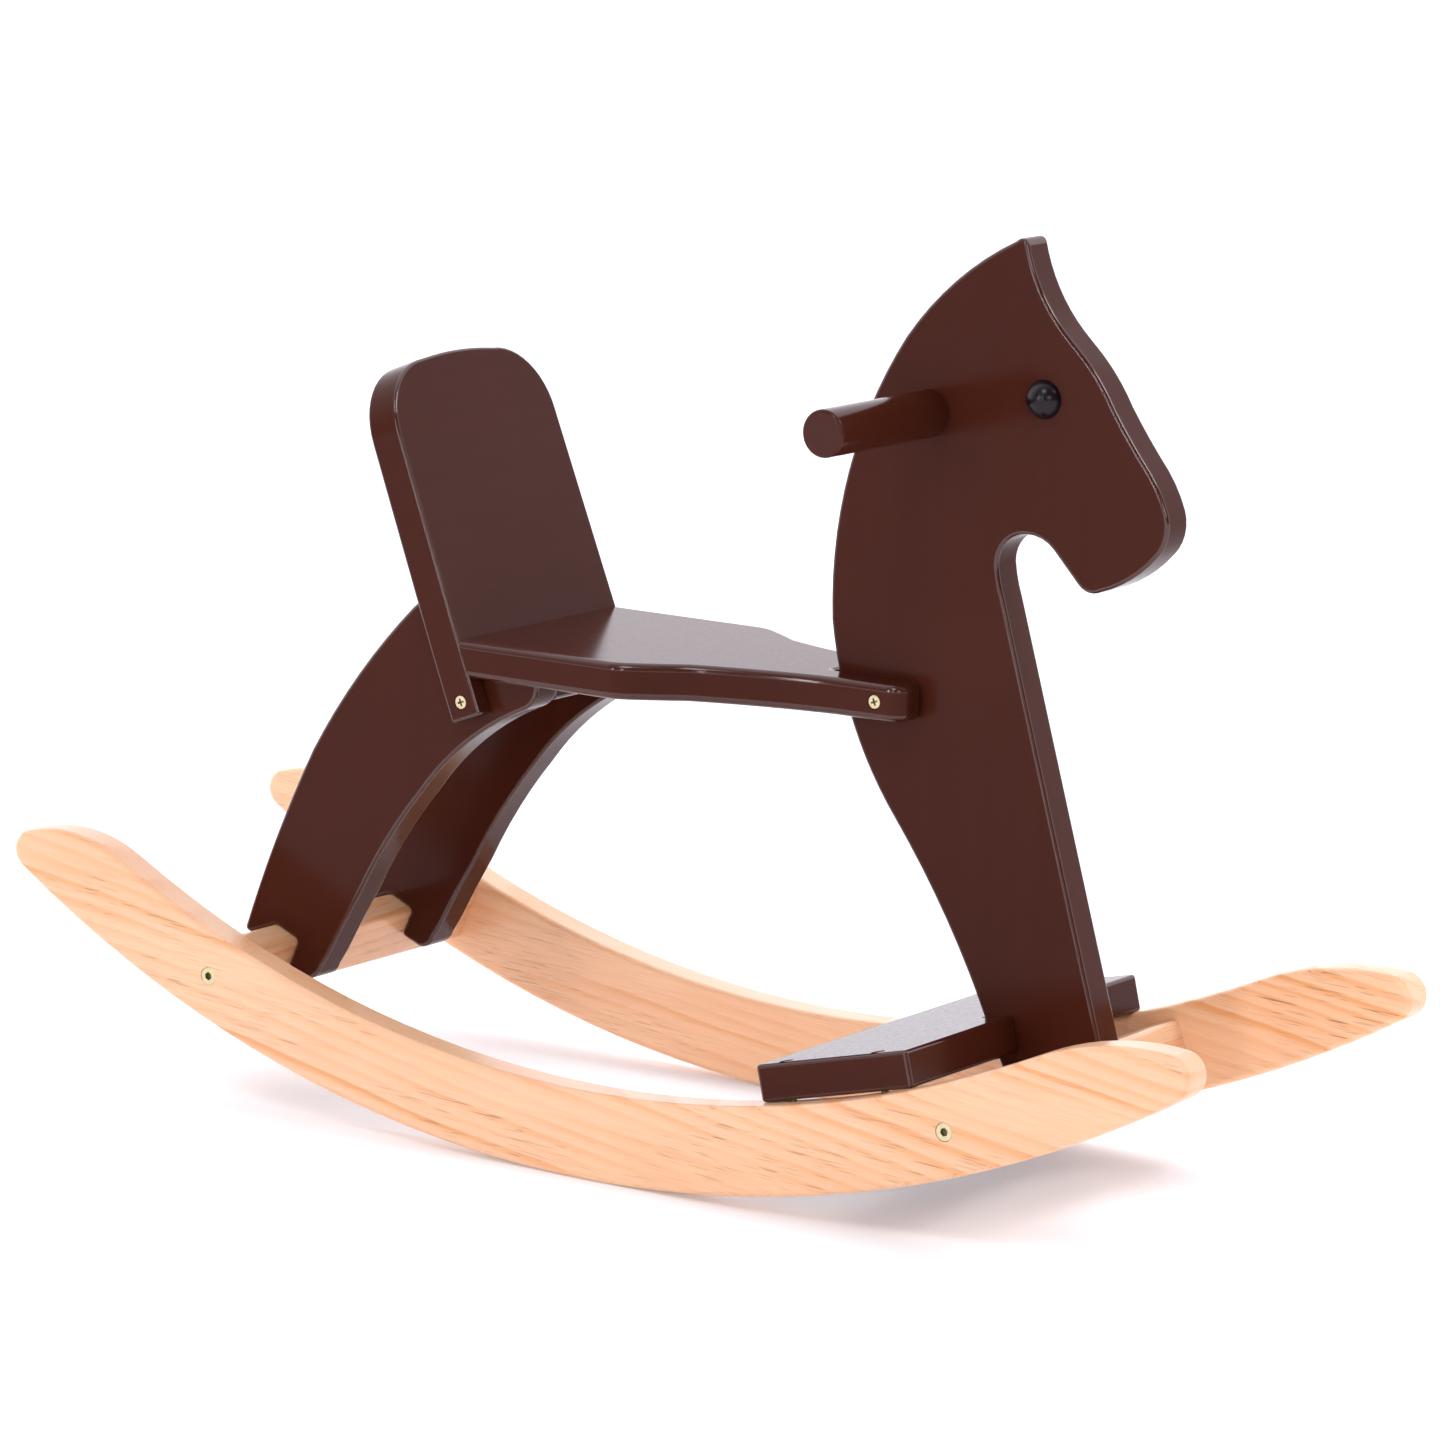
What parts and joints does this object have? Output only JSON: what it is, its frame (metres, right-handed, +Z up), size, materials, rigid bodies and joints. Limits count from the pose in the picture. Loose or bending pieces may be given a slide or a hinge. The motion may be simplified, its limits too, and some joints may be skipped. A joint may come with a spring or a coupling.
{
  "type": "wooden rocking horse",
  "caption": "Child's wooden rocking horse with a board seat and backrest, a horse-head board with a dowel handle, a footrest and two curved rockers.",
  "frame": {"origin": "on the floor, midway between the rocker ends and midway between the rockers; the toy stands balanced on its rockers", "axes": "+X forward, the way the horse looks; +Y to the rider's left; +Z up"},
  "size_m": [0.76, 0.246, 0.5046],
  "materials": {
    "pine": "clear satin lacquer over straight-grained pine",
    "brown_paint": "satin-gloss dark brown paint on wood, faint grain showing through",
    "birch_dowel": "bare wood",
    "eye_black": "satin black",
    "zinc_yellow": "pale yellow zinc plating",
    "zinc_plain": "bright zinc plating"
  },
  "bodies": {
    "root": {"rocker_right": "pine", "rocker_left": "pine", "front_crossbar": "pine", "rear_crossbar": "pine", "rear_leg_right": "brown_paint", "rear_leg_left": "brown_paint", "seat": "brown_paint", "backrest": "brown_paint", "seat_batten": "brown_paint", "head_board": "brown_paint", "footrest": "brown_paint", "handle": "brown_paint", "eye_right": "eye_black", "eye_left": "eye_black", "rocker_bolts": "zinc_yellow", "barrel_nuts": "zinc_plain", "crossbar_dowels": "birch_dowel", "seat_dowels": "birch_dowel", "backrest_screws": "zinc_yellow", "seat_screws": "zinc_yellow", "footrest_screws": "zinc_yellow", "batten_screws": "zinc_yellow", "crossbar_screws": "zinc_yellow"}
  },
  "joints": []
}
